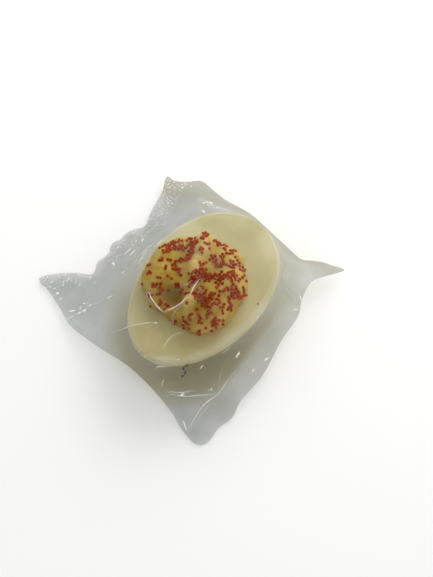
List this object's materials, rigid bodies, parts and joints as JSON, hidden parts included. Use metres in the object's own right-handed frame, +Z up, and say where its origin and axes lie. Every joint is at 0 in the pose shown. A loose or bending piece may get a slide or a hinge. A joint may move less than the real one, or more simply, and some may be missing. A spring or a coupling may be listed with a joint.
{
  "type": "wrapped deviled egg sweet",
  "caption": "Half-egg candy, cut side up, with a piped yellow filling and small sugar beads, heat-sealed in a clear film bag with one crimped end.",
  "frame": {"origin": "on the surface that the bag lies on, under the middle of the egg's outline", "axes": "+Z up out of the egg's cut face, +X along the egg to its blunt end, +Y to the bag's crimped end"},
  "size_m": [0.0787, 0.0829, 0.0331],
  "materials": {
    "egg_white": "smooth satin candy",
    "filling": "soft satin candy cream",
    "sugar_beads": "polished sugar",
    "film": "clear creased film"
  },
  "bodies": {
    "root": {"egg_white": "egg_white", "filling": "filling", "bag": "film"}
  },
  "joints": []
}
